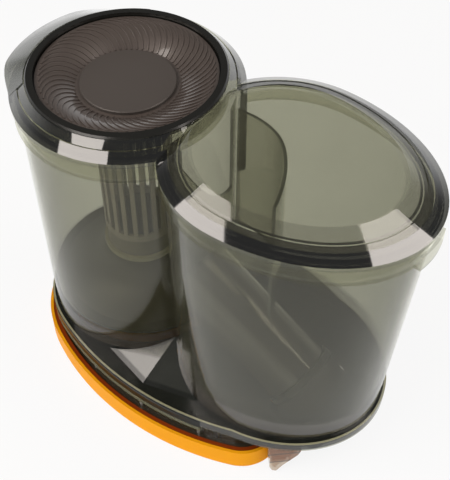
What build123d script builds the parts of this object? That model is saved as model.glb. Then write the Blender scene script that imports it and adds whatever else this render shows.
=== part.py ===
from build123d import *
import math
import os

os.makedirs("parts", exist_ok=True)

# Cyclone dust bin with two lobes: a round swirl barrel and a longer dust chamber under one lid.
# Millimetres, +Z up, +X from the barrel to the chamber, standing on the base tray.

# Walls, gaps and clearances
wall = 2.2
slip = 0.5
seat = 0.3
edge_round = 1.0

# Barrel and chamber at the rim and at the foot
barrel_radius = 69.0
barrel_foot_radius = 67.4
chamber_radius = 67.8
chamber_reach = 95.5
chamber_foot_radius = 66.0
chamber_foot_reach = 83.0
lobe_spacing = 113.0

# Levels above the ground
tray_height = 18.0
skirt_height = 16.0
rim_z = 226.0
barrel_floor_z = 59.0

# Base: flange lip, fairing, tray and the recessed skirt between them
flange_thickness = 2.5
lip_radius = 70.5
lip_bulge = 81.5
lip_end = 3.0
bead_width = 1.4
bead_height = 1.0
lip_drop = 4.0
fairing_rise = 13.0
fairing_apex = 36.0
fairing_back = 25.0
fairing_side = (46.5, 70.0)
tray_left_radius = 75.0
tray_bulge = 88.0
tray_end = 150.0
tray_corner = 28.0
tray_floor = 2.4
skirt_recess = 8.5
skirt_foot = 2.0
seal_strip = (2.6, 2.5)
rib_thickness = 2.0
rib_places = (10.0, 57.0, 104.0)
boss_place = (146.5, -59.0)
boss_radius = 3.6
boss_length = 7.0

# Guide foot under the flange, beside the tray's end
foot_place = (152.2, -59.2)
foot_turn = 42.0
foot_tilt = 8.0
foot_length = 22.5
foot_depth = 10.0
foot_wall = 1.6
foot_lower_edge = ((22.5, 20.0), (20.5, 16.0), (10.4, 6.5), (5.7, 0.9), (2.9, 1.9), (1.1, 5.6), (1.1, 14.7), (0.0, 18.0))
foot_rib_levels = (11.0, 19.0)

# Screws that hold the tray to the skirt's posts
screw_radius = 1.5
screw_head_radius = 3.2
screw_head_height = 2.0
screw_length = 14.0
well_wall = 1.8
well_depth = 3.0
post_radius = 4.4
screw_left_deg = 128.0
screw_right_x = 112.0

# Barrel inside: floor, outlet tube, cone and slatted grille
floor_thickness = 2.4
ledge_width = 4.0
tube_radius = 24.0
tube_wall = 2.0
grille_radius = 25.0
grille_wall = 2.4
grille_foot_z = 107.0
grille_top_z = 212.0
grille_band = 6.0
slot_count = 22
slot_width = 4.0
cone_top_z = 88.0
cone_radius = 58.0
cone_wall = 1.8
tube_ring_height = 4.0
tube_ring_width = 2.6
cap_thickness = 2.4

# Inlet duct: enters the barrel beside its axis, and falls to a wide mouth under the chamber
duct_radius = 24.0
duct_wall = 2.0
duct_entry = (62.0, -8.0, 92.0)
duct_seam = (146.0, -9.0, 43.0)
duct_mouth = (169.5, -4.0, 19.0)
mouth_half_width = 29.5
mouth_half_height = 10.5
mouth_fall = 60.0
seam_ring_width = 2.2
seam_ring_length = 5.0
mouth_seal_width = 3.5
mouth_seal_length = 6.0

# Opening from barrel to chamber, and the curved guide wall beside it
opening_near_deg = -24.0
opening_far_deg = 15.0
opening_sill_near = 212.0
opening_sill_far = 160.0
guide_wall = 2.0
guide_plan = ((62.0, 26.0), (82.0, 26.0), (97.0, 21.0), (110.0, 9.0), (123.0, -14.0), (128.0, -29.0))
guide_foot_z = 120.0
guide_top_z = 220.0

# Lid: skirt, lip, bevelled shoulder, finger lip and catch tab
crown = 11.0
skirt_drop = 14.0
lid_wall = 2.2
lip_proud = 1.0
lip_height = 3.0
shoulder_drop = 9.5
shoulder_width = 18.5
shoulder_end = 23.5
shoulder_step = 0.8
step_drop = 4.4
step_share = 0.52
seal_height = 2.0
finger_reach = 7.0
finger_width = 52.0
finger_round = 86.5
finger_drop = 19.0
catch_width = 26.0
catch_thickness = 2.0
catch_drop = 3.0
catch_height = 11.0

# Swirl disc in its cup, with a trim ring and a bare centre plate
cup_radius = 62.0
cup_depth = 18.0
ring_width = 5.2
ring_rise = 1.0
ring_seat_drop = 1.5
disc_radius = 56.0
disc_wall = 1.8
disc_flat = 2.2
dish_depth = 10.0
plate_radius = 30.0
plate_height = 2.4
plate_gap = 2.6
swirl_count = 60
swirl_width = 0.9
swirl_height = 0.7
swirl_turn_deg = 22.0

# Places worked out from the sizes above
lid_left = barrel_radius + slip + lid_wall + finger_reach
lid_right = lobe_spacing + chamber_reach + slip + lid_wall + catch_thickness
barrel_x = (lid_left - lid_right) / 2
chamber_x = barrel_x + lobe_spacing
middle_x = barrel_x + lobe_spacing / 2
flange_z = tray_height + skirt_height
flange_top = flange_z + flange_thickness
lid_top = rim_z + crown
lid_bottom = rim_z - skirt_drop
seal_z = rim_z + seal_height
step_z = lid_top - step_drop
lip_z = lid_top - shoulder_drop
barrel_skirt = barrel_radius + slip + lid_wall
chamber_skirt = chamber_radius + slip + lid_wall
chamber_skirt_reach = chamber_reach + slip + lid_wall
ring_inner = cup_radius - ring_width
well_radius = screw_head_radius + seat + well_wall
low = (Align.CENTER, Align.CENTER, Align.MIN)


def from_barrel(place):
    return Vector(barrel_x + place[0], *place[1:])


def column(radius, bottom, top, x=barrel_x, y=0.0):
    return Pos(x, y, bottom) * Cylinder(radius, top - bottom, align=low)


def tube(outer, inner, bottom, top, x=barrel_x, y=0.0):
    return column(outer, bottom, top, x, y) - column(inner, bottom, top, x, y)


def turned(points):
    # points are (distance from the barrel's axis, height), turned about that axis
    outline = Plane.XZ * make_face(Polyline(*points, close=True))
    return Pos(barrel_x, 0, 0) * revolve(outline, Axis.Z)


def chamber_outline(radius, reach, z):
    round_side = CenterArc((chamber_x, 0), radius, 90, 180)
    far_end = EllipticalCenterArc((chamber_x, 0), reach, radius, start_angle=-90, arc_size=180)
    return Pos(0, 0, z) * make_face([round_side, far_end])


def chamber_column(radius, reach, bottom, top):
    return extrude(chamber_outline(radius, reach, bottom), top - bottom)


def chamber_taper(foot, head, bottom, top):
    # foot and head are (radius, reach) at the two levels
    return loft([chamber_outline(*foot, bottom), chamber_outline(*head, top)], ruled=True)


def barrel_taper(inset, bottom, top):
    # the barrel wall's cone between two levels, inset from its outer face
    def radius_at(z):
        share = (z - flange_z) / (rim_z - flange_z)
        return barrel_foot_radius + (barrel_radius - barrel_foot_radius) * share - inset
    cone = Cone(radius_at(bottom), radius_at(top), top - bottom, align=low)
    return Pos(barrel_x, 0, bottom) * cone


def side_arc(left_radius, bulge):
    # the bulging sides are arcs that leave the left circle smoothly
    half = lobe_spacing / 2
    return (half ** 2 + bulge ** 2 - left_radius ** 2) / (2 * (bulge - left_radius))


def side_lens(left_radius, bulge, first_x, last_x):
    half = lobe_spacing / 2
    radius = side_arc(left_radius, bulge)
    rise = radius - bulge
    lens = Pos(middle_x, rise) * Circle(radius) & Pos(middle_x, -rise) * Circle(radius)
    band = Pos((first_x + last_x) / 2, 0) * Rectangle(last_x - first_x, 4 * bulge)
    touch = left_radius * half / (radius - left_radius)
    return lens & band, touch


def lip_outline(inset=0.0):
    radius = lip_radius - inset
    bulge = lip_bulge - inset
    touch = side_lens(radius, bulge, barrel_x, chamber_x)[1]
    sides = side_lens(radius, bulge, barrel_x - touch, chamber_x + touch)[0]
    left_end = Pos(barrel_x, 0) * Circle(radius)
    right_end = chamber_outline(radius, chamber_foot_reach + lip_end - inset, 0)
    return left_end + sides + right_end


def tray_outline(inset=0.0):
    radius = tray_left_radius - inset
    bulge = tray_bulge - inset
    end_x = barrel_x + tray_end - inset
    touch = side_lens(radius, bulge, barrel_x, end_x)[1]
    sides = side_lens(radius, bulge, barrel_x - touch, end_x)[0]
    outline = Pos(barrel_x, 0) * Circle(radius) + sides
    return fillet(outline.vertices().group_by(Axis.X)[-1], tray_corner - inset)


def duct_path():
    return [from_barrel(place) for place in (duct_entry, duct_seam, duct_mouth)]


def upper_duct(radius, before=0.0, after=0.0):
    # a round straight tube from the barrel to the seam, run on past either end
    entry, seam, _ = duct_path()
    way = (seam - entry).normalized()
    start = Plane(origin=entry - way * before, z_dir=way)
    return extrude(start * Circle(radius), (seam - entry).length + before + after)


def seam_plane(back=0.0):
    entry, seam, _ = duct_path()
    way = (seam - entry).normalized()
    return Plane(origin=seam - way * back, x_dir=(0, 1, 0), z_dir=way)


def mouth_plane():
    fall = math.radians(mouth_fall)
    way = Vector(math.cos(fall), 0, -math.sin(fall))
    return Plane(origin=duct_path()[2], x_dir=(0, 1, 0), z_dir=way)


def lower_duct(grow):
    # from the round seam to the wide mouth
    start = seam_plane() * Circle(duct_radius + grow)
    end = mouth_plane() * Ellipse(mouth_half_width + grow, mouth_half_height + grow)
    return loft([start, end])


def duct_clearance():
    # room for the duct, its seam ring and its mouth
    ring = extrude(seam_plane(seam_ring_length + seat) * Circle(duct_radius + seam_ring_width + seat),
                   seam_ring_length + 2 * seat)
    return upper_duct(duct_radius + seat, duct_radius) + ring + lower_duct(seat)


def fairing(inset):
    # a hipped roof in each valley between the lobes, with a ridge down to the flange lip
    side_x, side_y = fairing_side
    points = [(middle_x - side_x, -side_y), (middle_x, -lip_bulge), (middle_x + side_x, -side_y)]
    points += [(middle_x, -fairing_back)]
    base = offset(make_face(Polyline(*points, close=True)), -inset, kind=Kind.INTERSECTION)
    apex = Vertex(middle_x, -fairing_apex, flange_top + fairing_rise - inset)
    near = loft([Pos(0, 0, flange_z) * base, apex], ruled=True)
    return near + mirror(near, Plane.XZ)


def outer_walls():
    foot = (chamber_foot_radius, chamber_foot_reach)
    head = (chamber_radius, chamber_reach)
    return barrel_taper(0, flange_z, rim_z) + chamber_taper(foot, head, flange_z, rim_z)


def make_body():
    walls = outer_walls()
    flange = extrude(Pos(0, 0, flange_z) * lip_outline(), flange_thickness)
    bead_face = lip_outline() - lip_outline(bead_width)
    bead = extrude(Pos(0, 0, flange_top) * bead_face, bead_height)
    lip = extrude(Pos(0, 0, flange_z - lip_drop) * (lip_outline() - lip_outline(wall)), lip_drop)
    body = walls + flange + fairing(0) + bead + lip + make_foot() + make_boss()
    body -= fairing(wall) - walls
    chamber_foot = (chamber_foot_radius - wall, chamber_foot_reach - wall)
    chamber_head = (chamber_radius - wall, chamber_reach - wall)
    chamber_room = chamber_taper(chamber_foot, chamber_head, flange_top, rim_z)
    body -= chamber_room - barrel_taper(0, flange_z, rim_z)
    body -= barrel_taper(wall, barrel_floor_z - floor_thickness, rim_z)
    body -= barrel_taper(wall + ledge_width, flange_z, barrel_floor_z)
    body -= dust_opening()
    return body - duct_clearance()


def dust_opening():
    # a window in the barrel wall that deepens towards the guide wall
    near = math.radians(opening_near_deg)
    far = math.radians(opening_far_deg)
    y_near = barrel_radius * math.sin(near)
    y_far = barrel_radius * math.sin(far)
    points = [(y_near, opening_sill_near), (y_near, rim_z + wall), (y_far, rim_z + wall)]
    points += [(y_far, opening_sill_far)]
    sill = Spline((y_far, opening_sill_far), (y_near, opening_sill_near), tangents=((-1, 0.25), (-1, 2.2)))
    window = Plane.YZ * make_face([Polyline(*points), sill])
    return Pos(barrel_x + cup_radius - ring_width, 0, 0) * extrude(window, barrel_radius)


def make_dust_guide():
    strip = Pos(barrel_x, 0, guide_foot_z) * trace(Spline(*guide_plan), guide_wall)
    return extrude(strip, guide_top_z - guide_foot_z) - barrel_taper(-seat, flange_z, rim_z)


def make_skirt():
    # a recessed wall on a foot inside the tray, with ribs out to the flange lip
    outer = tray_outline(wall + skirt_recess)
    inner = tray_outline(wall + skirt_recess + wall)
    foot_z = tray_height - seal_strip[1] - skirt_foot
    skirt = extrude(Pos(0, 0, tray_floor) * (outer - inner), flange_z - tray_floor)
    skirt += extrude(Pos(0, 0, foot_z) * (tray_outline(wall + seat) - inner), skirt_foot)
    bar = Box(rib_thickness, 4 * tray_bulge, flange_z - foot_z, align=low)
    ribs = [Pos(barrel_x + place, 0, foot_z) * bar for place in rib_places]
    room = extrude(Pos(0, 0, foot_z) * (lip_outline(wall + seat) - inner), flange_z - foot_z)
    skirt += [rib & room for rib in ribs]
    for x, y in screw_spots():
        skirt -= column(well_radius + seat, tray_floor, well_depth + tray_floor, x, y)
        skirt += column(post_radius, well_depth + tray_floor, flange_z, x, y)
        skirt -= column(screw_radius, well_depth, well_depth + screw_length, x, y)
    return skirt - duct_clearance()


def make_boss():
    x, y, _ = from_barrel((*boss_place, 0))
    boss = column(boss_radius, flange_z - boss_length, flange_z, x, y)
    return fillet(boss.edges().group_by(Axis.Z)[0], boss_radius / 2)


def make_foot():
    # an arrow-shaped foot with cross ribs, open at the back and notched round the tray
    top = flange_top - seat
    points = [(0, top), (foot_length, top), *foot_lower_edge]
    face = make_face(Polyline(*points, close=True))
    hollow = Pos(0, foot_wall, 0) * extrude(Plane.XZ * offset(face, -foot_wall), -foot_depth)
    hollow -= [Pos(0, 0, level) * Box(4 * foot_length, 4 * foot_depth, foot_wall, align=low)
               for level in foot_rib_levels]
    foot = extrude(Plane.XZ * face, -foot_depth) - hollow
    foot = Rot(0, 0, foot_turn) * Rot(-foot_tilt, 0, 0) * Pos(0, 0, -top) * foot
    foot = Pos(*from_barrel((*foot_place, top))) * foot
    foot -= Pos(*from_barrel((*foot_place, 0))) * Box(4 * foot_length, 4 * foot_length, 2 * slip)
    return foot - extrude(tray_outline(-slip), tray_height + slip)


def screw_spots():
    # two by the left circle and two by the bulging sides, where the posts join the skirt's wall
    inset = wall + skirt_recess + post_radius
    left = Vector(tray_left_radius - inset, 0).rotate(Axis.Z, screw_left_deg)
    arc = side_arc(tray_left_radius, tray_bulge)
    right_y = math.sqrt((arc - inset) ** 2 - (screw_right_x - lobe_spacing / 2) ** 2) - (arc - tray_bulge)
    places = [(left.X, left.Y), (screw_right_x, right_y)]
    return [(barrel_x + x, side * y) for x, y in places for side in (1, -1)]


def make_tray():
    tray = extrude(tray_outline(), tray_height)
    tray = fillet(tray.edges().group_by(Axis.Z)[0], edge_round)
    tray -= extrude(Pos(0, 0, tray_floor) * tray_outline(wall), tray_height)
    for x, y in screw_spots():
        tray += column(well_radius, 0, well_depth + tray_floor - seat, x, y)
        tray -= column(screw_radius + seat, 0, tray_height, x, y)
        tray -= column(screw_head_radius + seat, 0, well_depth, x, y)
    tray -= column(tube_radius - tube_wall, 0, tray_floor)
    return tray - duct_clearance()


def make_base_seal():
    # a flat strip on the skirt's foot, just inside the tray's wall
    width, height = seal_strip
    face = tray_outline(wall + seat) - tray_outline(wall + seat + width)
    return extrude(Pos(0, 0, tray_height - height) * face, height) - duct_clearance()


def make_screws():
    screws = []
    for x, y in screw_spots():
        head = column(screw_head_radius, well_depth - screw_head_height, well_depth, x, y)
        shank = column(screw_radius, well_depth, well_depth + screw_length, x, y)
        screws.append(head + shank)
    return Compound(screws)


def make_barrel_floor():
    bottom = barrel_floor_z - floor_thickness
    floor = barrel_taper(wall + seat, bottom, barrel_floor_z)
    return floor - column(tube_radius + seat, bottom, barrel_floor_z)


def make_tube():
    return tube(tube_radius, tube_radius - tube_wall, tray_floor + wall, grille_foot_z)


def make_outlet_seal():
    return tube(tube_radius + wall, tube_radius - tube_wall, tray_floor, tray_floor + wall)


def make_cone():
    # a bell that spreads the swirl from the tube to the barrel floor
    inner = tube_radius + seat
    sweep = Spline((inner + cone_wall, cone_top_z), (cone_radius, barrel_floor_z), tangents=((0.1, -1), (1, -0.35)))
    edges = [sweep, Polyline((cone_radius, barrel_floor_z), (inner, barrel_floor_z), (inner, cone_top_z),
                             (inner + cone_wall, cone_top_z))]
    return Pos(barrel_x, 0, 0) * revolve(Plane.XZ * make_face(edges), Axis.Z)


def make_tube_ring():
    outer = tube_radius + tube_ring_width
    return tube(outer, tube_radius + seat, cone_top_z, cone_top_z + tube_ring_height)


def make_grille():
    grille = tube(grille_radius, grille_radius - grille_wall, grille_foot_z, grille_top_z - cap_thickness)
    slot_height = grille_top_z - grille_foot_z - cap_thickness - 2 * grille_band
    slot = Pos(grille_radius, 0, grille_foot_z + grille_band)
    slot *= Box(4 * grille_wall, slot_width, slot_height, align=low)
    cuts = [Pos(barrel_x, 0, 0) * Rot(0, 0, 360 / slot_count * step) * slot for step in range(slot_count)]
    return grille - cuts


def make_grille_cap():
    cap = column(grille_radius, grille_top_z - cap_thickness, grille_top_z)
    return fillet(cap.edges().group_by(Axis.Z)[-1], edge_round)


def make_upper_duct():
    duct = upper_duct(duct_radius, duct_radius)
    duct -= upper_duct(duct_radius - duct_wall, 2 * duct_radius, wall)
    return duct - barrel_taper(wall, 0, rim_z)


def make_lower_duct():
    return lower_duct(0) - lower_duct(-duct_wall)


def make_seam_ring():
    face = Circle(duct_radius + seam_ring_width) - Circle(duct_radius + seat)
    return extrude(seam_plane(seam_ring_length) * face, seam_ring_length)


def make_inlet_seal():
    outer = Ellipse(mouth_half_width + mouth_seal_width, mouth_half_height + mouth_seal_width)
    inner = Ellipse(mouth_half_width - duct_wall, mouth_half_height - duct_wall)
    return extrude(mouth_plane() * (outer - inner), mouth_seal_length)


def make_lid():
    lip = barrel_skirt + lip_proud
    lip_foot = lip_z - lip_height
    middle = lip - (lip - cup_radius) * step_share
    profile = [(0, lid_top), (cup_radius, lid_top), (middle - shoulder_step, step_z), (middle, step_z)]
    profile += [(lip, lip_z), (lip, lip_foot), (barrel_skirt, lip_foot)]
    profile += [(barrel_skirt, lid_bottom), (0, lid_bottom)]
    lid = turned(profile)
    lid += chamber_column(chamber_skirt, chamber_skirt_reach, lid_bottom, lip_z)
    lid += chamber_column(chamber_skirt + lip_proud, chamber_skirt_reach + lip_proud, lip_foot, lip_z)
    lid += chamber_shoulder(0)
    lid += finger_lip() + catch_tab()
    lid -= column(barrel_radius + slip, lid_bottom, seal_z)
    lid -= chamber_column(chamber_radius + slip, chamber_reach + slip, lid_bottom, seal_z)
    lid -= chamber_shoulder(lid_wall) - column(cup_radius, lid_bottom, lid_top)
    lid += column(cup_radius, lid_top - cup_depth, lid_top)
    lid -= column(cup_radius - lid_wall, lid_top - cup_depth + lid_wall, lid_top)
    return lid - column(cup_radius + seat, lid_top - ring_seat_drop, lid_top)


def chamber_shoulder(inset):
    # the bevelled crown over the chamber, with a small step part of the way up
    outer = (chamber_skirt + lip_proud - inset, chamber_skirt_reach + lip_proud - inset)
    width = shoulder_width * step_share
    reach = shoulder_end * step_share
    middle = (outer[0] - width, outer[1] - reach)
    above = (middle[0] - shoulder_step, middle[1] - shoulder_step)
    head = (outer[0] - shoulder_width, outer[1] - shoulder_end)
    lower = chamber_taper(outer, middle, lip_z - inset, step_z - inset)
    return lower + chamber_taper(above, head, step_z - inset, lid_top - inset)


def finger_lip():
    # a broad lip at the barrel end that a finger lifts
    slope = shoulder_drop / (barrel_skirt + lip_proud - cup_radius)
    reach = lid_left + finger_reach
    foot = lid_top - finger_drop
    profile = [(cup_radius, lid_top), (reach, lid_top - slope * (reach - cup_radius))]
    profile += [(reach, foot), (cup_radius, foot)]
    lip = turned(profile)
    plan = Pos(barrel_x - lid_left + finger_round, 0) * Circle(finger_round)
    plan &= Pos(barrel_x - lid_left, 0) * Rectangle(lid_left, finger_width)
    return lip & extrude(Pos(0, 0, foot) * plan, finger_drop)


def catch_tab():
    # a thickened tab of the skirt at the chamber's end
    bottom = lid_bottom - catch_drop
    inner = chamber_column(chamber_radius + slip, chamber_reach + slip, bottom, bottom + catch_height)
    outer = chamber_column(chamber_skirt + catch_thickness, chamber_skirt_reach + catch_thickness,
                           bottom, bottom + catch_height)
    span = Box(2 * chamber_skirt_reach, catch_width, catch_height, align=(Align.MIN, Align.CENTER, Align.MIN))
    return (outer - inner) & Pos(chamber_x, 0, bottom) * span


def make_lid_seal():
    outer = column(barrel_radius, rim_z, seal_z)
    outer += chamber_column(chamber_radius, chamber_reach, rim_z, seal_z)
    inner = column(barrel_radius - wall, rim_z, seal_z)
    inner += chamber_column(chamber_radius - wall, chamber_reach - wall, rim_z, seal_z)
    return outer - inner


def make_disc_ring():
    top = lid_top + ring_rise
    bench = lid_top - ring_seat_drop
    hold = cup_radius - lid_wall - seat
    points = [(ring_inner, top), (cup_radius - ring_rise, top), (cup_radius, lid_top), (cup_radius, bench)]
    points += [(hold, bench), (hold, bench - 2 * disc_wall), (ring_inner - disc_wall, bench - 2 * disc_wall)]
    points += [(ring_inner - disc_wall, bench - disc_wall), (ring_inner, bench - disc_wall)]
    return turned(points)


def dish(above, below):
    # the disc's dished form as a shell, from above its upper side to below it
    rim = lid_top - ring_seat_drop
    well = lid_top - dish_depth
    flat = disc_radius - disc_flat
    inner = plate_radius + plate_gap

    def side(lift):
        slope = Spline((flat, rim + lift), (inner, well + lift), tangents=((-1, -0.12), (-1, -0.6)))
        land = Line((disc_radius, rim + lift), (flat, rim + lift))
        return [land, slope, Line((inner, well + lift), (0, well + lift))]

    ends = [Line((0, well + above), (0, well - below))]
    ends += [Line((disc_radius, rim + above), (disc_radius, rim - below))]
    outline = Plane.XZ * make_face([*side(above), *side(-below), *ends])
    return Pos(barrel_x, 0, 0) * revolve(outline, Axis.Z)


def make_swirl_disc():
    inner = plate_radius + plate_gap
    outer = disc_radius - disc_flat
    middle = (inner + outer) / 2
    turn = math.radians(swirl_turn_deg)
    bend = (middle * math.cos(turn / 4), middle * math.sin(turn / 4))
    end = (outer * math.cos(turn), outer * math.sin(turn))
    strip = trace(ThreePointArc((inner, 0), bend, end), swirl_width)
    rib = extrude(Pos(barrel_x, 0, lid_bottom) * strip, lid_top + crown - lid_bottom)
    rib &= dish(swirl_height, disc_wall / 2)
    turns = [Pos(barrel_x, 0, 0) * Rot(0, 0, 360 / swirl_count * step) * Pos(-barrel_x, 0, 0)
             for step in range(swirl_count)]
    return dish(0, disc_wall) + [place * rib for place in turns]


def make_plate():
    bottom = lid_top - dish_depth
    plate = column(plate_radius, bottom, bottom + plate_height)
    return chamfer(plate.edges().group_by(Axis.Z)[-1], edge_round / 2)


pieces = {
    "bin_body": make_body,
    "dust_guide": make_dust_guide,
    "base_skirt": make_skirt,
    "base_tray": make_tray,
    "base_seal": make_base_seal,
    "base_screws": make_screws,
    "barrel_floor": make_barrel_floor,
    "outlet_tube": make_tube,
    "outlet_seal": make_outlet_seal,
    "swirl_cone": make_cone,
    "tube_ring": make_tube_ring,
    "vane_grille": make_grille,
    "grille_cap": make_grille_cap,
    "inlet_duct": make_upper_duct,
    "inlet_elbow": make_lower_duct,
    "seam_ring": make_seam_ring,
    "inlet_seal": make_inlet_seal,
    "lid": make_lid,
    "lid_seal": make_lid_seal,
    "disc_ring": make_disc_ring,
    "swirl_disc": make_swirl_disc,
    "centre_plate": make_plate,
}

for name, make in pieces.items():
    export_step(make(), f"parts/{name}.step")
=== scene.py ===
import bpy
import math
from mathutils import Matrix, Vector


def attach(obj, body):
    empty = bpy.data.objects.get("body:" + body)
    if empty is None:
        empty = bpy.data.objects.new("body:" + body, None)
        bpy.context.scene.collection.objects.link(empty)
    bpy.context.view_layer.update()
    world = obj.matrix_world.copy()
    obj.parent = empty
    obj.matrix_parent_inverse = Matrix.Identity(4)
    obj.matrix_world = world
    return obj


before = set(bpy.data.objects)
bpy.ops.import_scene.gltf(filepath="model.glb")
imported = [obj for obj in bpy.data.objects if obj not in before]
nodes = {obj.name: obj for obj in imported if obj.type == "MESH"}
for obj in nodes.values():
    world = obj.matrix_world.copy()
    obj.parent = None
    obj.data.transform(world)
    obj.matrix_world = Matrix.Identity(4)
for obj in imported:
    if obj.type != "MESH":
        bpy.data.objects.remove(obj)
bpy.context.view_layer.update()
print("frame loaded:", len(nodes), "pieces")


class Wire:
    # a socket that takes part in plain arithmetic
    def __init__(self, bench, socket):
        self.bench = bench
        self.socket = socket

    def sums(self, operation, left, right):
        return self.bench.make("ShaderNodeMath", {"operation": operation}, {0: left, 1: right})[0]

    def __add__(self, other): return self.sums("ADD", self, other)
    def __radd__(self, other): return self.sums("ADD", other, self)
    def __sub__(self, other): return self.sums("SUBTRACT", self, other)
    def __rsub__(self, other): return self.sums("SUBTRACT", other, self)
    def __mul__(self, other): return self.sums("MULTIPLY", self, other)
    def __rmul__(self, other): return self.sums("MULTIPLY", other, self)
    def __pow__(self, other): return self.sums("POWER", self, other)
    def __rpow__(self, other): return self.sums("POWER", other, self)


class Outs:
    # the outputs of a node, by place or by name
    def __init__(self, bench, node):
        self.bench = bench
        self.node = node

    def __getitem__(self, key):
        return Wire(self.bench, self.node.outputs[key])


class Bench:
    # a material's node tree, and the one method that adds nodes to it
    def __init__(self, tree):
        self.tree = tree
        tree.nodes.clear()

    def make(self, kind, settings=None, sockets=None):
        node = self.tree.nodes.new(kind)
        for name, value in (settings or {}).items():
            setattr(node, name, value)
        for key, value in (sockets or {}).items():
            socket = node.inputs[key]
            if isinstance(value, Wire):
                self.tree.links.new(value.socket, socket)
            else:
                socket.default_value = value
        return Outs(self, node)

    def place(self):
        return self.make("ShaderNodeTexCoord")["Object"]

    def noise(self, scale, detail=3.0, rough=0.5):
        return self.make("ShaderNodeTexNoise", {}, {
            "Vector": self.place(), "Scale": scale, "Detail": detail, "Roughness": rough})["Fac"]

    def mix(self, share, first, second):
        # inputs 6 and 7 and output 2 are the colour ones
        return self.make("ShaderNodeMix", {"data_type": "RGBA"}, {0: share, 6: first, 7: second})[2]

    def stretch(self, value, low, high, toLow=0.0, toHigh=1.0):
        return self.make("ShaderNodeMapRange", {"interpolation_type": "SMOOTHSTEP"},
                         {0: value, 1: low, 2: high, 3: toLow, 4: toHigh})[0]

    def bump(self, height, strength, distance):
        return self.make("ShaderNodeBump", {}, {
            "Height": height, "Strength": strength, "Distance": distance})[0]

    def spot(self):
        return self.make("ShaderNodeSeparateXYZ", {}, {0: self.place()})

    def vector(self, operation, first, second=(0, 0, 0), result="Vector"):
        return self.make("ShaderNodeVectorMath", {"operation": operation}, {0: first, 1: second})[result]

    def size(self, value):
        return self.make("ShaderNodeMath", {"operation": "ABSOLUTE"}, {0: value})[0]

    def face(self):
        return self.make("ShaderNodeNewGeometry")["True Normal"]

    def level(self):
        # 1 on a level face, 0 on an upright one
        return self.size(self.make("ShaderNodeSeparateXYZ", {}, {0: self.face()})["Z"])

    def out(self, axis):
        # the level way out from an upright axis
        return self.vector("MULTIPLY", self.vector("SUBTRACT", self.place(), (*axis, 0)), (1, 1, 0))

    def band(self, value, low, high, fade):
        return self.stretch(value, low - fade, low) * self.stretch(value, high, high + fade, 1.0, 0.0)

    def show(self, shader):
        self.make("ShaderNodeOutputMaterial", {}, {"Surface": shader})


# shared by all materials: the useful span of a noise, depths of relief in metres, limits of a zone's faces
noiseMiddle = 0.5
noiseSpan = (0.3, 0.7)
waveDepth = 0.002
grainDepth = 0.0004
sameWay = (0.97, 0.99)
cutEdge = (0.4, 0.6)


def newMaterial(name):
    material = bpy.data.materials.new(name)
    material.use_nodes = True
    return material, Bench(material.node_tree)


def smokeClear(name, look):
    # clear smoke plastic: a tinted film, dark and glossy where it is looked along
    material, bench = newMaterial(name)
    facing = bench.make("ShaderNodeLayerWeight", {}, {"Blend": 0.5})["Facing"]
    haze = bench.noise(look["hazeScale"], detail=4.0, rough=0.6)
    share = look["body"] + look["edge"] * facing ** look["edgePower"] + look["haze"] * (haze - noiseMiddle)
    colour = bench.mix(haze, look["dark"], look["light"])
    coat = look["coat"]
    for zone in look["zones"]:
        # thicker or doubled plastic, or a painted highlight, by height and whatever else the zone names
        mask = bench.band(bench.spot()["Z"], *zone["height"])
        if "level" in zone:
            mask = mask * bench.band(bench.level(), *zone["level"])
        if "along" in zone:
            mask = mask * bench.band(bench.spot()["X"], *zone["along"])
        if "way" in zone:  # faces that look one way
            likeness = bench.vector("DOT_PRODUCT", bench.face(), zone["way"], "Value")
            mask = mask * bench.stretch(likeness, *sameWay)
        if "cutRound" in zone:  # cut edges of a wall round an upright axis
            out = bench.out(zone["cutRound"])
            turned = bench.vector("DOT_PRODUCT", bench.face(), bench.vector("NORMALIZE", out), "Value")
            mask = mask * bench.stretch(bench.size(turned), *cutEdge, 1.0, 0.0)
            mask = mask * bench.band(bench.vector("LENGTH", out, result="Value"), *zone["far"])
        share = share + mask * (zone["body"] - share)
        colour = bench.mix(mask, colour, zone["colour"])
        coat = coat + mask * (zone.get("coat", 1.0) - coat)
    film = bench.make("ShaderNodeBsdfTransparent", {}, {"Color": look["tint"]})[0]
    rough = bench.stretch(bench.noise(look["roughScale"]), *noiseSpan, *look["rough"])
    wave = bench.bump(bench.noise(look["waveScale"], detail=1.0), look["wave"], waveDepth)
    skin = bench.make("ShaderNodeBsdfPrincipled", {}, {
        "Base Color": colour, "Roughness": rough, "Normal": wave, "IOR": look["ior"],
        "Coat Weight": coat, "Coat Roughness": 0.03})[0]
    bench.show(bench.make("ShaderNodeMixShader", {}, {0: share, 1: film, 2: skin})[0])
    return material


def moulded(name, look):
    # solid moulded plastic or rubber with a fine grain
    material, bench = newMaterial(name)
    cloud = bench.noise(look["cloudScale"], detail=4.0, rough=0.55)
    grain = bench.noise(look["grainScale"], detail=2.0, rough=0.6)
    rough = bench.stretch(cloud, *noiseSpan, *look["rough"])
    colour = bench.mix(cloud, look["dark"], look["light"])
    skin = bench.make("ShaderNodeBsdfPrincipled", {}, {
        "Base Color": colour, "Roughness": rough, "Normal": bench.bump(grain, look["grain"], grainDepth),
        "Metallic": look["metal"], "Specular IOR Level": look["gloss"],
        "Coat Weight": look["coat"], "Coat Roughness": 0.08})[0]
    bench.show(skin)
    return material


def rgb(red, green, blue):
    # 0 to 255 as seen, to the shader's own scale
    def line(value):
        value /= 255
        return value / 12.92 if value <= 0.04045 else ((value + 0.055) / 1.055) ** 2.4
    return (line(red), line(green), line(blue), 1.0)


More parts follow.
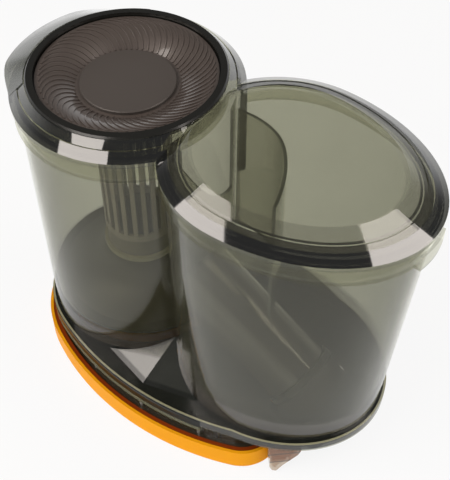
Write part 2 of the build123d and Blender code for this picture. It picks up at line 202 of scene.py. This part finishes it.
# where things are, in metres: bands give a low end, a high end and how far they fade
barrelX = -0.06725
levelFace = (0.7, 2.0, 0.04)
uprightFace = (-1.0, 0.5, 0.1)
bevelFace = (0.3, 0.97, 0.02)
onFoot = (0.07, 0.12, 0.001)
onBarrel = (-0.2, -0.012, 0.001)
onChamber = (-0.012, 0.2, 0.001)
ribPlaces = (barrelX + 0.010, barrelX + 0.057, barrelX + 0.104)
ribHalf = 0.0012

edgeDark = rgb(62, 66, 60)
footLine = rgb(74, 64, 54)
bevelBlack = rgb(14, 15, 14)

wallLook = {"body": 0.29, "edge": 0.5, "edgePower": 3.0, "haze": 0.05, "hazeScale": 18.0, "roughScale": 60.0,
            "rough": (0.06, 0.14), "waveScale": 30.0, "wave": 0.05, "tint": (1.0, 1.0, 0.93, 1.0), "ior": 1.5,
            "dark": rgb(58, 58, 46), "light": rgb(74, 74, 58), "coat": 1.0, "zones": ()}
guideLook = dict(wallLook, zones=(
    # top edge, then end edge
    {"height": (0.1, 0.3, 0.01), "level": levelFace, "body": 0.88, "colour": edgeDark},
    {"height": (0.1, 0.3, 0.01), "way": (0.316, -0.949, 0.0), "body": 0.88, "colour": edgeDark},
))
bodyLook = dict(wallLook, zones=(
    # foot of the walls, flange, level faces above it, a painted highlight on top of the bead
    {"height": (0.0405, 0.0560, 0.003), "body": 0.55, "colour": rgb(74, 70, 62)},
    {"height": (0.0318, 0.0405, 0.0006), "body": 0.92, "colour": rgb(36, 38, 35), "coat": 0.0},
    {"height": (0.0380, 0.0520, 0.0006), "level": levelFace, "body": 0.9, "colour": rgb(52, 54, 49)},
    # a painted highlight: a light line on the level top of the bead, where it catches the light
    {"height": (0.0371, 0.0378, 0.0002), "level": (0.99, 2.0, 0.005), "body": 0.85,
     "colour": rgb(176, 174, 142)},
    # cut edges of the opening between barrel and chamber: upright, then level
    {"height": (0.1570, 0.2290, 0.001), "level": uprightFace, "cutRound": (barrelX, 0.0),
     "far": (0.062, 0.0725, 0.001), "body": 0.88, "colour": edgeDark},
    {"height": (0.1570, 0.2170, 0.001), "level": levelFace, "along": (-0.03, 0.03, 0.001), "body": 0.88,
     "colour": edgeDark},
    # guide foot: the whole, its tip, its two ribs, its slanted edge
    {"height": (-0.001, 0.0285, 0.001), "along": onFoot, "body": 0.72, "colour": rgb(150, 100, 66)},
    {"height": (-0.001, 0.0100, 0.001), "along": onFoot, "body": 0.5, "colour": rgb(196, 166, 142)},
    {"height": (0.0106, 0.0114, 0.0003), "along": onFoot, "body": 0.85, "colour": footLine},
    {"height": (0.0186, 0.0194, 0.0003), "along": onFoot, "body": 0.85, "colour": footLine},
    {"height": (0.0010, 0.0285, 0.001), "along": onFoot, "way": (0.557, 0.502, -0.66), "body": 0.9,
     "colour": rgb(66, 62, 56)},
))
lipLook = dict(wallLook, ior=1.15, coat=0.0, zones=(
    # face, then lower edge
    {"height": (0.0280, 0.0370, 0.0005), "body": 0.94, "colour": rgb(34, 36, 33), "coat": 0.0},
    {"height": (0.0200, 0.0280, 0.0005), "body": 0.6, "colour": rgb(120, 122, 102), "coat": 0.0},
))
lidLook = dict(wallLook, body=0.26, ior=1.8, rough=(0.03, 0.06), zones=(
    # on the chamber: upper bevel, lower bevel, a painted highlight line on the crease between them
    {"height": (0.2311, 0.2369, 0.0001), "level": (0.5, 0.97, 0.02), "along": onChamber, "body": 0.40,
     "colour": rgb(66, 66, 54)},
    {"height": (0.2240, 0.2310, 0.0001), "level": bevelFace, "along": onChamber, "body": 0.93,
     "colour": bevelBlack},
    # a painted highlight: a thin light line standing in for light caught on the crease
    {"height": (0.2268, 0.2271, 0.0001), "level": bevelFace, "along": onChamber, "body": 0.8,
     "colour": rgb(96, 96, 80)},
    # on the barrel: the shoulder; then the skirt all round
    {"height": (0.2240, 0.2369, 0.0001), "level": bevelFace, "along": onBarrel, "body": 0.93,
     "colour": bevelBlack},
    {"height": (0.2110, 0.2238, 0.0002), "level": (-1.0, 0.3, 0.1), "body": 0.14, "colour": rgb(66, 66, 52)},
))
rimLook = dict(wallLook, body=0.66, ior=1.6, dark=rgb(54, 57, 52), light=rgb(66, 69, 63))
# the ribs in the recess are light upright strips painted on the skirt: a painted highlight where they catch
# the light
skirtLook = dict(wallLook, body=0.5, dark=rgb(74, 68, 58), light=rgb(88, 82, 70), zones=tuple(
    {"height": (0.0, 0.04, 0.001), "level": uprightFace, "along": (place - ribHalf, place + ribHalf, 0.0002),
     "body": 0.9, "colour": rgb(150, 146, 136)} for place in ribPlaces))
ductLook = dict(wallLook, body=0.75, dark=rgb(74, 71, 66), light=rgb(86, 82, 76))
orangeLook = {"cloudScale": 9.0, "grainScale": 900.0, "grain": 0.05, "rough": (0.4, 0.5), "metal": 0.0,
              "dark": rgb(253, 168, 16), "light": rgb(255, 176, 24), "gloss": 0.06, "coat": 0.0}
# the seal's red-brown is a darkened orange: painted shade standing in for the tray's inner wall in shadow
shadedOrangeLook = dict(orangeLook, dark=rgb(120, 45, 8), light=rgb(150, 62, 12), rough=(0.5, 0.65))
slatLook = dict(orangeLook, dark=rgb(140, 134, 122), light=rgb(156, 150, 138), rough=(0.35, 0.5), gloss=0.5)
tubeLook = dict(slatLook, dark=rgb(112, 108, 98), light=rgb(126, 121, 111))
coneLook = dict(slatLook, dark=rgb(68, 64, 58), light=rgb(78, 74, 67))
paleLook = dict(orangeLook, dark=rgb(150, 148, 124), light=rgb(168, 166, 140), rough=(0.3, 0.45), gloss=0.4)
seamLook = dict(orangeLook, dark=rgb(52, 52, 46), light=rgb(62, 62, 55), rough=(0.35, 0.5), gloss=0.4)
rubberLook = dict(orangeLook, dark=rgb(24, 26, 26), light=rgb(34, 37, 37), rough=(0.4, 0.55), gloss=0.4)
ringLook = dict(orangeLook, dark=rgb(22, 22, 20), light=rgb(30, 30, 27), rough=(0.15, 0.25), gloss=0.4,
                coat=0.2)
discLook = dict(orangeLook, dark=rgb(79, 70, 65), light=rgb(94, 85, 80), rough=(0.3, 0.42), gloss=0.5,
                coat=0.8, metal=0.25)
plateLook = dict(discLook, dark=rgb(78, 72, 68), light=rgb(85, 79, 75), rough=(0.38, 0.5), coat=0.0)
steelLook = dict(orangeLook, dark=rgb(150, 150, 150), light=rgb(190, 190, 190), rough=(0.25, 0.4), gloss=0.5,
                 metal=1.0)

finishes = {
    "smokeBody": (smokeClear, bodyLook, ("bin_body",)),
    "smokeGuide": (smokeClear, guideLook, ("dust_guide",)),
    "smokeSkirt": (smokeClear, skirtLook, ("base_skirt",)),
    "smokeLid": (smokeClear, lidLook, ("lid",)),
    "smokeDuct": (smokeClear, ductLook, ("inlet_duct", "inlet_elbow")),
    "orangeTray": (moulded, orangeLook, ("base_tray",)),
    "shadedOrangeStrip": (moulded, shadedOrangeLook, ("base_seal",)),
    "slatCore": (moulded, slatLook, ("vane_grille", "grille_cap")),
    "tubeGrey": (moulded, tubeLook, ("outlet_tube",)),
    "coneDark": (moulded, coneLook, ("barrel_floor", "swirl_cone")),
    "paleRing": (moulded, paleLook, ("tube_ring",)),
    "seamDark": (moulded, seamLook, ("seam_ring",)),
    "blackRubber": (moulded, rubberLook, ("inlet_seal", "outlet_seal", "lid_seal")),
    "ringGloss": (moulded, ringLook, ("disc_ring",)),
    "discBrown": (moulded, discLook, ("swirl_disc",)),
    "plateBare": (moulded, plateLook, ("centre_plate",)),
    "screwSteel": (moulded, steelLook, ("base_screws",)),
}
for name, (recipe, look, wearers) in finishes.items():
    material = recipe(name, look)
    for wearer in wearers:
        mesh = nodes[wearer].data
        mesh.materials.clear()
        mesh.materials.append(material)
print("finishes on:", len(finishes))


def spread(first, last, count):
    return [first + (last - first) * step / count for step in range(count + 1)]


def ease(value, low, high):
    share = min(max((value - low) / (high - low), 0.0), 1.0)
    return share * share * (3 - 2 * share)


def newPiece(name, points, faces):
    mesh = bpy.data.meshes.new(name)
    mesh.from_pydata(points, [], faces)
    mesh.update()
    piece = bpy.data.objects.new(name, mesh)
    bpy.context.scene.collection.objects.link(piece)
    return piece


def sweepFaces(rows, around):
    # a cap at each end, and a face between each two neighbours of one row and the next
    count = rows * around
    faces = [tuple(range(around)), tuple(range(count - 1, count - around - 1, -1))]
    for row in range(rows - 1):
        for spot in range(around):
            here, beside = row * around + spot, row * around + (spot + 1) % around
            faces.append((here, here + around, beside + around, beside))
    return faces


def turnOver(faces):
    return [face[:1] + face[:0:-1] for face in faces]


# the tall lip that hangs from the flange's edge round the barrel end, a hair outside the flange
lipBand = {"spacing": 0.113, "radius": 0.0705, "bulge": 0.0815, "stop": 0.107, "steps": 40,
           "section": ((0.00025, 0.0363), (0.00025, 0.0330), (-0.0002, 0.0290), (0.00025, 0.0266),
                       (0.00025, 0.0250), (-0.0019, 0.0250), (-0.0019, 0.0299), (0.00003, 0.0299),
                       (0.00003, 0.0363))}


def lipPath(plan):
    # place and way out, from the near side round the barrel to the far side
    half = plan["spacing"] / 2
    radius, bulge, steps = plan["radius"], plan["bulge"], plan["steps"]
    arc = (half ** 2 + bulge ** 2 - radius ** 2) / (2 * (bulge - radius))
    back = arc - bulge
    meet = math.asin(half / (arc - radius))  # where the bulging side runs into the round end
    stop = math.asin((plan["stop"] - half) / arc)
    near = [(math.sin(turn), -math.cos(turn)) for turn in spread(stop, -meet, steps)]
    end = [(-math.sin(turn), -math.cos(turn)) for turn in spread(meet, math.pi - meet, steps)[1:]]
    far = [(math.sin(turn), math.cos(turn)) for turn in spread(-meet, stop, steps)[1:]]
    stretches = ((barrelX + half, back, arc, near), (barrelX, 0.0, radius, end),
                 (barrelX + half, -back, arc, far))
    return [(x + reach * outX, y + reach * outY, outX, outY)
            for x, y, reach, ways in stretches for outX, outY in ways]


path = lipPath(lipBand)
section = lipBand["section"]
lipPoints = [(x + outX * far, y + outY * far, z) for x, y, outX, outY in path for far, z in section]
lip = newPiece("lipBand", lipPoints, sweepFaces(len(path), len(section)))
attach(lip, "bin")
lip.data.materials.append(smokeClear("smokeLip", lipLook))
print("lip band:", len(lip.data.polygons), "faces")

# the broad finger rim of the lid, a shallow roof from the trim ring out over the shoulder at the barrel's end
fingerRim = {"top": 0.2370, "inner": 0.0627, "reach": 0.0785, "shoulder": 0.0727, "fall": 0.006,
             "shoulderFall": 0.0093, "swell": (116.0, 160.0, 203.0, 227.0), "foot": 0.0145, "plate": 0.0018,
             "edge": 0.0008, "chamfer": 0.00024, "under": 0.0012, "steps": 60}


def rimRoof(plan, swell, far):
    # the shoulder's own slope, which eases to a gentler one where the rim swells
    out = far - plan["inner"]
    shoulder = plan["shoulderFall"] * out / (plan["shoulder"] - plan["inner"])
    gentle = plan["fall"] * out / (plan["reach"] - plan["inner"])
    return plan["top"] - shoulder - (gentle - shoulder) * swell


def rimSection(plan, turn):
    # distance from the barrel's axis and height, round the rim's section at one angle
    first, full, last, end = plan["swell"]
    swell = ease(turn, first, full) * (1 - ease(turn, last, end))
    inner, edge, chamfer = plan["inner"], plan["edge"], plan["chamfer"]
    outer = plan["shoulder"] + (plan["reach"] - plan["shoulder"]) * swell
    back = outer - plan["plate"]
    ridge, eaves = rimRoof(plan, swell, inner), rimRoof(plan, swell, outer)
    foot = min(plan["top"] - plan["foot"], eaves - 2 * edge)
    return [(inner, ridge), (outer - edge, rimRoof(plan, swell, outer - edge)),
            (outer - chamfer, eaves - chamfer), (outer, eaves - edge), (outer, foot), (back, foot),
            (back, eaves - plan["under"]), (inner, ridge - chamfer)]


rimPoints = []
for turn in spread(fingerRim["swell"][0], fingerRim["swell"][-1], fingerRim["steps"]):
    across, along = math.cos(math.radians(turn)), math.sin(math.radians(turn))
    loop = rimSection(fingerRim, turn)
    rimPoints += [(barrelX + across * far, along * far, z) for far, z in loop]
rim = newPiece("fingerRim", rimPoints, turnOver(sweepFaces(fingerRim["steps"] + 1, len(loop))))
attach(rim, "lid")
rim.data.materials.append(smokeClear("smokeRim", rimLook))
print("finger rim:", len(rim.data.polygons), "faces")

# smooth shading, with edges kept sharp by their angle
sharpFrom = math.radians(28)
for piece in [*nodes.values(), lip, rim]:
    for face in piece.data.polygons:
        face.use_smooth = True
    piece.data.set_sharp_from_angle(angle=sharpFrom)
print("shading done")

# floor, white to the eye and to reflections, with a faint shadow
floorLook = {"half": 4.0, "z": -0.0005, "colour": (0.9, 0.9, 0.9, 1.0), "shadow": 0.12}
half, z = floorLook["half"], floorLook["z"]
floorPoints = [(-half, -half, z), (half, -half, z), (half, half, z), (-half, half, z)]
floor = newPiece("floor", floorPoints, [(0, 1, 2, 3)])
floorMaterial, bench = newMaterial("floorWhite")
paths = bench.make("ShaderNodeLightPath")
seen = paths["Is Camera Ray"] + paths["Is Glossy Ray"] + paths["Is Transmission Ray"]
matt = bench.make("ShaderNodeBsdfDiffuse", {}, {"Color": floorLook["colour"]})[0]
glow = bench.make("ShaderNodeEmission", {}, {"Color": (1, 1, 1, 1), "Strength": 1.0})[0]
bench.show(bench.make("ShaderNodeMixShader", {}, {0: seen * (1 - floorLook["shadow"]), 1: matt, 2: glow})[0])
floor.data.materials.append(floorMaterial)

# world, white at the horizon and dim overhead
worldLook = {"low": 0.1, "high": 0.5, "dim": 0.14}
world = bpy.data.worlds.new("studio")
bpy.context.scene.world = world
world.use_nodes = True
bench = Bench(world.node_tree)
height = bench.make("ShaderNodeSeparateXYZ", {}, {0: bench.make("ShaderNodeTexCoord")["Generated"]})["Z"]
level = bench.stretch(height, worldLook["low"], worldLook["high"], 1.0, worldLook["dim"])
sky = bench.make("ShaderNodeBackground", {}, {"Color": (1, 1, 1, 1), "Strength": level})[0]
bench.make("ShaderNodeOutputWorld", {}, {"Surface": sky})

# softboxes: azimuth and elevation from the bin, distance, width, height, radiance and colour
softboxes = {
    "leftBox": {"turn": -122.0, "rise": 48.5, "far": 1.1, "wide": 1.12, "tall": 0.54, "level": 4.8,
                "colour": (1.0, 0.93, 0.87)},
    "rightBox": {"turn": 27.0, "rise": 54.0, "far": 1.1, "wide": 0.62, "tall": 0.5, "level": 4.8,
                 "colour": (1.0, 0.93, 0.87)},
    "frontBox": {"turn": -60.0, "rise": 12.0, "far": 1.4, "wide": 1.6, "tall": 0.7, "level": 0.8,
                 "colour": (1.0, 0.98, 0.95)},
}
aim = Vector((0.0, 0.0, 0.2))
for name, look in softboxes.items():
    lamp = bpy.data.lights.new(name, "AREA")
    lamp.shape = "RECTANGLE"
    lamp.size = look["wide"]
    lamp.size_y = look["tall"]
    lamp.energy = look["level"] * math.pi * look["wide"] * look["tall"]
    lamp.color = look["colour"]
    turn = math.radians(look["turn"])
    rise = math.radians(look["rise"])
    way = Vector((math.cos(turn) * math.cos(rise), math.sin(turn) * math.cos(rise), math.sin(rise)))
    softbox = bpy.data.objects.new(name, lamp)
    softbox.location = aim + way * look["far"]
    softbox.rotation_euler = way.to_track_quat("Z", "Y").to_euler()
    bpy.context.scene.collection.objects.link(softbox)
print("lights:", len(softboxes))

# camera, as in the photograph
cameraLook = {"spot": (0.2548, -0.3424, 0.6112), "down": 48.66, "turn": 36.0, "lens": 73.05, "sensor": 36.0}
eye = bpy.data.cameras.new("photoCamera")
eye.lens = cameraLook["lens"]
eye.sensor_width = cameraLook["sensor"]
camera = bpy.data.objects.new("photoCamera", eye)
camera.location = cameraLook["spot"]
camera.rotation_euler = (math.radians(90 - cameraLook["down"]), 0, math.radians(cameraLook["turn"]))
bpy.context.scene.collection.objects.link(camera)
bpy.context.scene.camera = camera

bpy.context.scene.view_settings.view_transform = "Standard"
